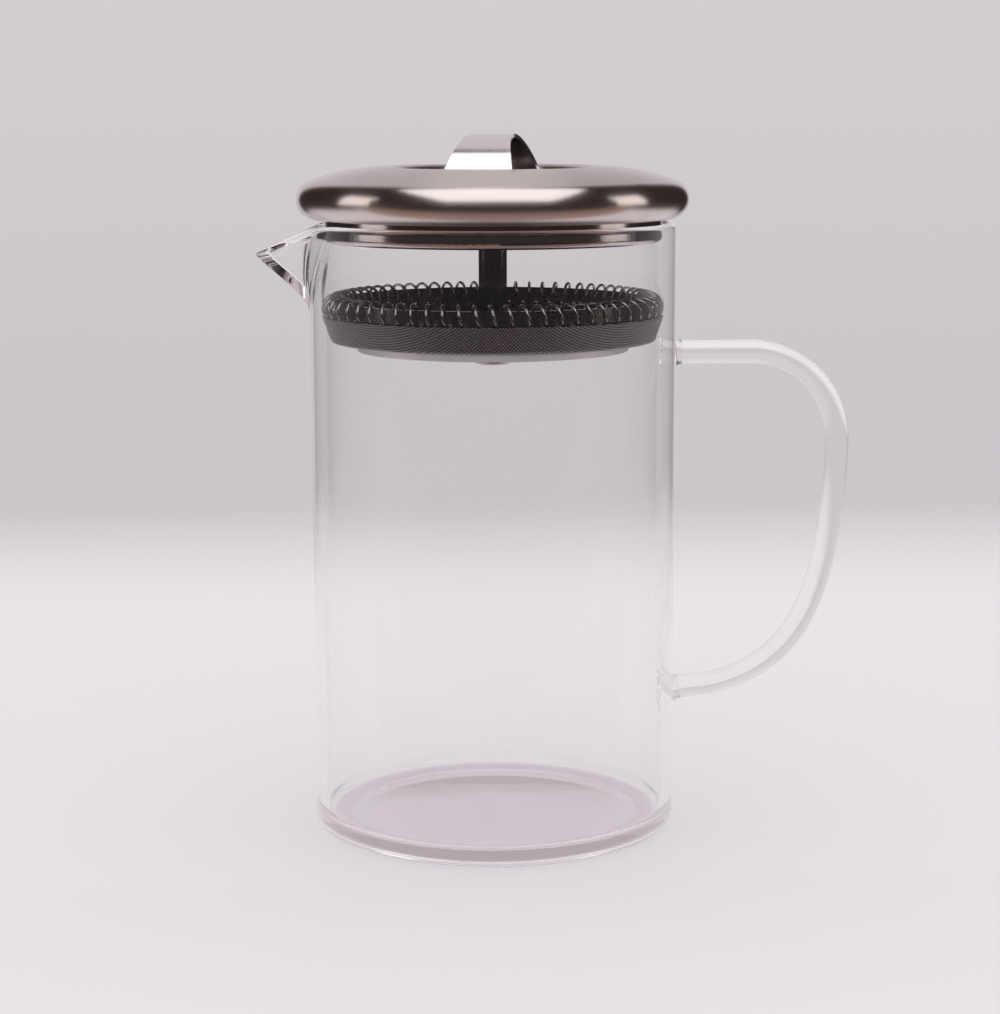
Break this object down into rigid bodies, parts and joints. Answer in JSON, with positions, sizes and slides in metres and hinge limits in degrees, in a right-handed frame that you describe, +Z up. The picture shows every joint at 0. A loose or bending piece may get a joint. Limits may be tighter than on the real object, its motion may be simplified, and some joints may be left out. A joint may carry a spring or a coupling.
{
  "type": "french press",
  "caption": "Straight glass beaker with pouring lip and fused glass-rod handle, a domed steel lid, and a strap-lifted rod carrying a spring-edged woven strainer.",
  "frame": {"origin": "centre of the round base, on the surface it stands on", "axes": "+Z up along the beaker's axis, +X towards the handle, -X towards the pouring lip, +Y to complete a right-handed frame"},
  "size_m": [0.1474, 0.0962, 0.1724],
  "materials": {
    "clear_glass": "fire-polished borosilicate, clear with a faint cool tint at its edges",
    "brushed_lid": "stainless steel, fine circular brushing",
    "polished_strap": "polished stainless strip",
    "rod_steel": "ground stainless tube and bar",
    "plate_steel": "pressed stainless sheet, satin",
    "spring_wire": "bright drawn stainless wire",
    "woven_mesh": "fine woven stainless wire cloth"
  },
  "bodies": {
    "beaker": {"glass_beaker": "clear_glass", "glass_handle": "clear_glass", "handle_bosses": "clear_glass"},
    "lid": {"lid_dome": "brushed_lid", "lid_pan": "brushed_lid", "lid_spacer": "rod_steel", "guide_bush": "rod_steel", "guide_washer": "rod_steel", "guide_nut": "rod_steel"},
    "plunger": {"strap_handle": "polished_strap", "spring_washer": "rod_steel", "handle_screw": "rod_steel", "rod_tube": "rod_steel", "rod_top_plug": "rod_steel", "rod_lower_stud": "rod_steel", "strainer_collar": "rod_steel", "spiral_plate": "plate_steel", "coil_spring": "spring_wire", "mesh_screen": "woven_mesh", "cross_plate": "plate_steel", "hub_nut": "rod_steel"}
  },
  "joints": [
    {"name": "lid_lift", "type": "slide", "parent": "beaker", "child": "lid", "axis": [0, 0, 1], "range_m": [0, 0.06]},
    {"name": "plunger_slide", "type": "slide", "parent": "lid", "child": "plunger", "axis": [0, 0, 1], "range_m": [0, 0.012]}
  ]
}
